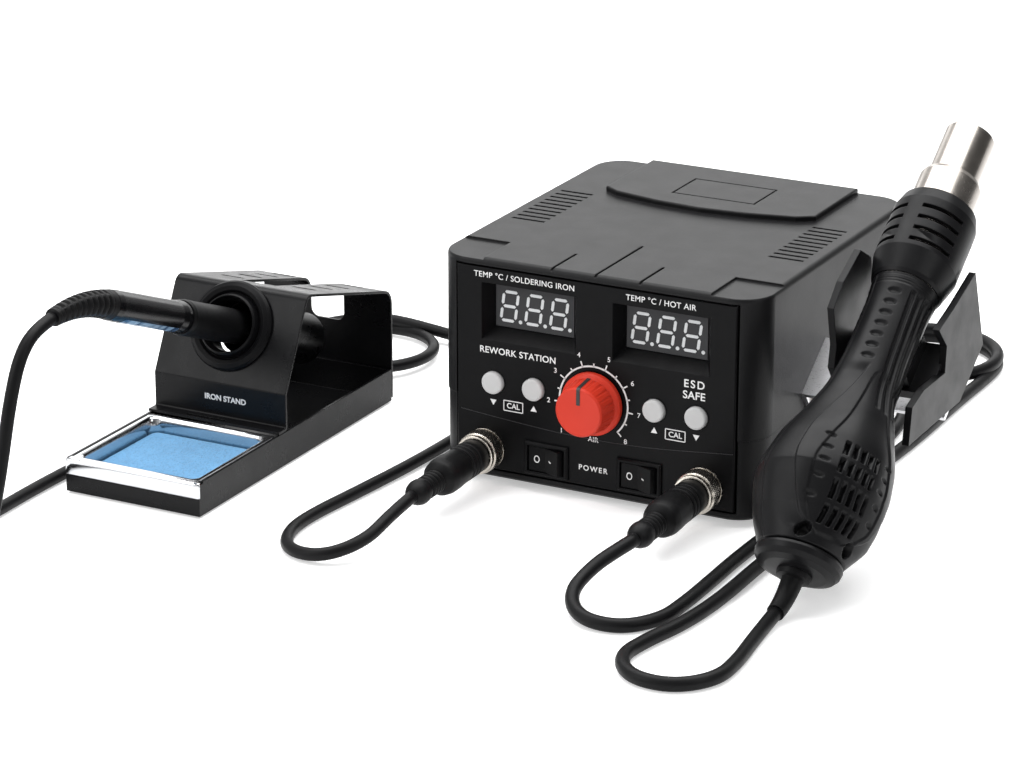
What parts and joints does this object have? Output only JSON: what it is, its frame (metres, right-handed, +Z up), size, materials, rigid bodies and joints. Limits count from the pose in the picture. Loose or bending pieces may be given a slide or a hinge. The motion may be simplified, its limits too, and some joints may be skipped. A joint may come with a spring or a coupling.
{
  "type": "soldering iron station",
  "caption": "Soldering and hot-air rework station: control unit with displays, knob, switches and side cradle holding a hot-air gun, beside a sheet-metal stand with iron and sponge tray.",
  "frame": {"origin": "on the table, at the centre of the footprint of the unit, gun and stand together, without the cords", "axes": "+Z up, front panel faces -Y, +X to the right of someone facing the panel"},
  "size_m": [0.3745, 0.5034, 0.1591],
  "materials": {
    "housing_plastic": "fine moulded texture, satin",
    "panel_plastic": "smooth, semi-gloss",
    "gun_plastic": "smooth satin moulding",
    "steel_black": "powder coated sheet",
    "display_face": "grey face with pale segments",
    "circuit_board": "solder mask",
    "transformer_steel": "varnished laminations",
    "aluminium": "as extruded",
    "nickel": "nickel plated, satin",
    "stainless": "drawn and brushed",
    "chrome": "bright plated sheet",
    "knob_red": "satin red-orange",
    "button_grey": "light grey, satin",
    "rubber_black": "matt moulded rubber",
    "cord_rubber": "matt silicone jacket",
    "handle_gloss": "polished black",
    "sponge_blue": "open cellulose sponge",
    "ceramic": "mica and ceramic",
    "tip_plated": "iron plated copper"
  },
  "bodies": {
    "station": {"lower_housing": "housing_plastic", "top_cover": "housing_plastic", "front_panel": "panel_plastic", "rear_panel": "steel_black", "mains_inlet": "panel_plastic", "iron_display": "display_face", "gun_display": "display_face", "control_board": "circuit_board", "power_board": "circuit_board", "transformer": "transformer_steel", "heatsink": "aluminium", "iron_switch_frame": "panel_plastic", "gun_switch_frame": "panel_plastic", "iron_socket": "nickel", "iron_plug": "rubber_black", "gun_socket": "nickel", "gun_plug": "rubber_black", "station_feet": "rubber_black", "station_screws": "nickel", "gun_cradle": "gun_plastic", "cradle_bracket": "aluminium", "stand_base": "steel_black", "stand_housing": "steel_black", "funnel_cup": "panel_plastic", "iron_rest_tube": "steel_black", "stand_feet": "rubber_black", "iron_cord": "cord_rubber", "iron_cord_coil": "cord_rubber", "gun_cord": "cord_rubber", "gun_cord_coil": "cord_rubber"},
    "air_knob": {"air_knob": "knob_red", "knob_shaft": "aluminium"},
    "iron_down_button": {"iron_down_button": "button_grey"},
    "iron_up_button": {"iron_up_button": "button_grey"},
    "gun_up_button": {"gun_up_button": "button_grey"},
    "gun_down_button": {"gun_down_button": "button_grey"},
    "iron_rocker": {"iron_rocker": "panel_plastic"},
    "gun_rocker": {"gun_rocker": "panel_plastic"},
    "iron_plug_ring": {"iron_plug_ring": "nickel"},
    "gun_plug_ring": {"gun_plug_ring": "nickel"},
    "sponge_tray": {"sponge_tray": "chrome"},
    "sponge": {"sponge": "sponge_blue"},
    "iron": {"iron_grip": "rubber_black", "iron_handle": "handle_gloss", "iron_barrel": "stainless", "iron_tip": "tip_plated", "iron_boot": "rubber_black", "iron_cord_end": "cord_rubber"},
    "iron_nut": {"iron_nut": "nickel"},
    "gun": {"gun_shell_front": "gun_plastic", "gun_shell_back": "gun_plastic", "gun_collar": "gun_plastic", "gun_barrel": "stainless", "gun_heater": "ceramic", "gun_motor": "aluminium", "gun_end_cap": "gun_plastic", "gun_boot": "rubber_black", "gun_cord_end": "cord_rubber"},
    "gun_fan": {"gun_fan": "gun_plastic"},
    "gun_nozzle": {"gun_nozzle": "stainless"}
  },
  "joints": [
    {"name": "air_knob_turn", "type": "hinge", "parent": "station", "child": "air_knob", "pos_m": [0.02839, -0.01155, 0.0457], "axis": [0, 1, 0], "range_deg": [-145, 125]},
    {"name": "iron_down_button_press", "type": "slide", "parent": "station", "child": "iron_down_button", "axis": [0, 1, 0], "range_m": [0, 0.001], "stiffness_N_per_m": 400},
    {"name": "iron_up_button_press", "type": "slide", "parent": "station", "child": "iron_up_button", "axis": [0, 1, 0], "range_m": [0, 0.001], "stiffness_N_per_m": 400},
    {"name": "gun_up_button_press", "type": "slide", "parent": "station", "child": "gun_up_button", "axis": [0, 1, 0], "range_m": [0, 0.001], "stiffness_N_per_m": 400},
    {"name": "gun_down_button_press", "type": "slide", "parent": "station", "child": "gun_down_button", "axis": [0, 1, 0], "range_m": [0, 0.001], "stiffness_N_per_m": 400},
    {"name": "iron_rocker_tilt", "type": "hinge", "parent": "station", "child": "iron_rocker", "pos_m": [0.00619, -0.01055, 0.0157], "axis": [0, 0, 1], "range_deg": [0, 22]},
    {"name": "gun_rocker_tilt", "type": "hinge", "parent": "station", "child": "gun_rocker", "pos_m": [0.05059, -0.01055, 0.0157], "axis": [0, 0, 1], "range_deg": [0, 22]},
    {"name": "iron_plug_ring_turn", "type": "hinge", "parent": "station", "child": "iron_plug_ring", "pos_m": [-0.02351, -0.01755, 0.0162], "axis": [0, -1, 0], "continuous": true},
    {"name": "gun_plug_ring_turn", "type": "hinge", "parent": "station", "child": "gun_plug_ring", "pos_m": [0.08029, -0.01755, 0.0162], "axis": [0, -1, 0], "continuous": true},
    {"name": "sponge_tray_lift", "type": "slide", "parent": "station", "child": "sponge_tray", "axis": [0, 0, 1], "range_m": [0, 0.025]},
    {"name": "sponge_lift", "type": "slide", "parent": "sponge_tray", "child": "sponge", "axis": [0, 0, 1], "range_m": [0, 0.03]},
    {"name": "iron_draw", "type": "slide", "parent": "station", "child": "iron", "axis": [0, -0.9304, 0.3665], "range_m": [0, 0.13]},
    {"name": "iron_nut_turn", "type": "hinge", "parent": "iron", "child": "iron_nut", "pos_m": [-0.14491, -0.00672, 0.0501], "axis": [0, -0.9304, 0.3665], "continuous": true},
    {"name": "gun_lift", "type": "slide", "parent": "station", "child": "gun", "axis": [0, -0.5764, 0.8171], "range_m": [0, 0.07]},
    {"name": "gun_fan_spin", "type": "hinge", "parent": "gun", "child": "gun_fan", "pos_m": [0.15089, -0.03783, 0.05103], "axis": [0, 0.8171, 0.5764], "continuous": true},
    {"name": "gun_nozzle_pull", "type": "slide", "parent": "gun", "child": "gun_nozzle", "axis": [0, 0.8171, 0.5764], "range_m": [0, 0.02]}
  ]
}
